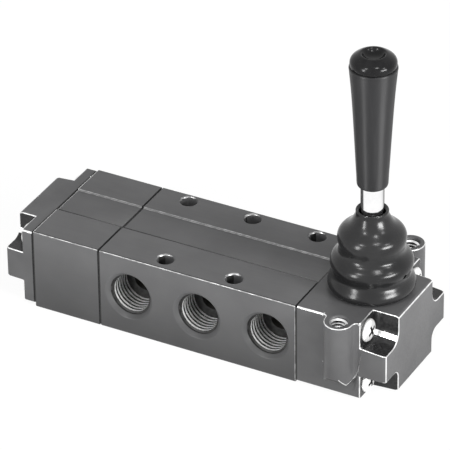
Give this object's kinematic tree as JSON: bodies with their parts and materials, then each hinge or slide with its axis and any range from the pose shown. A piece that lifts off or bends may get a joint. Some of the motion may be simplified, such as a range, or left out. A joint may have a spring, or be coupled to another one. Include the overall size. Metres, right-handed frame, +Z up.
{
  "type": "manual air control valve",
  "caption": "Lever-operated spool valve in a long grey block with threaded side ports, through holes, end castings, a rubber bellows boot and a tapered black hand grip.",
  "frame": {"origin": "the middle of the centre body's flat underside", "axes": "+X along the spool towards the lever, +Y to the rear face with the two cylinder ports, +Z up"},
  "size_m": [0.162, 0.0714, 0.1338],
  "materials": {
    "body_paint": "satin grey paint on extruded aluminium",
    "casting_paint": "satin grey paint on die-cast metal",
    "gasket": "pressed black gasket sheet",
    "zinc_screw": "bright zinc plate",
    "seal_rubber": "smooth black nitrile",
    "cage_brass": "turned brass",
    "spool_steel": "ground steel",
    "spring_steel": "music wire",
    "washer_plastic": "natural nylon",
    "rod_chrome": "polished chrome plate",
    "grip_plastic": "glossy black moulded plastic",
    "boot_rubber": "glossy black moulded rubber"
  },
  "bodies": {
    "valve_body": {"centre_body": "body_paint", "spring_housing": "body_paint", "end_cap": "casting_paint", "lever_housing": "casting_paint", "cap_gasket": "gasket", "spring_housing_gasket": "gasket", "lever_housing_gasket": "gasket", "cap_screws": "zinc_screw", "lever_housing_screws": "zinc_screw", "seal_rings": "seal_rubber", "seal_cages": "cage_brass", "seal_retainers": "cage_brass", "spring_seats": "spool_steel", "inner_spring": "spring_steel", "outer_spring": "spring_steel", "pivot_pin": "spool_steel", "pivot_washers": "washer_plastic", "boot": "boot_rubber"},
    "spool": {"spool": "spool_steel", "spring_collar": "spool_steel", "spool_nut": "zinc_screw"},
    "lever": {"lever_arm": "spool_steel", "lever_rod": "rod_chrome", "grip_insert": "cage_brass", "handle_grip": "grip_plastic", "grip_cap": "grip_plastic"}
  },
  "joints": [
    {"name": "lever_tilt", "type": "hinge", "parent": "valve_body", "child": "lever", "pos_m": [0.06065, 0, 0.038], "axis": [0, 1, 0], "range_deg": [-12, 12], "stiffness_Nm_per_rad": 4, "deforming": ["boot"]},
    {"name": "spool_slide", "type": "slide", "parent": "valve_body", "child": "spool", "axis": [1, 0, 0], "range_m": [-0.0045, 0.0045], "deforming": ["inner_spring", "outer_spring"]}
  ],
  "couplings": [
    {"joint": "spool_slide", "follows": "lever_tilt", "m_per_rad": -0.021}
  ]
}
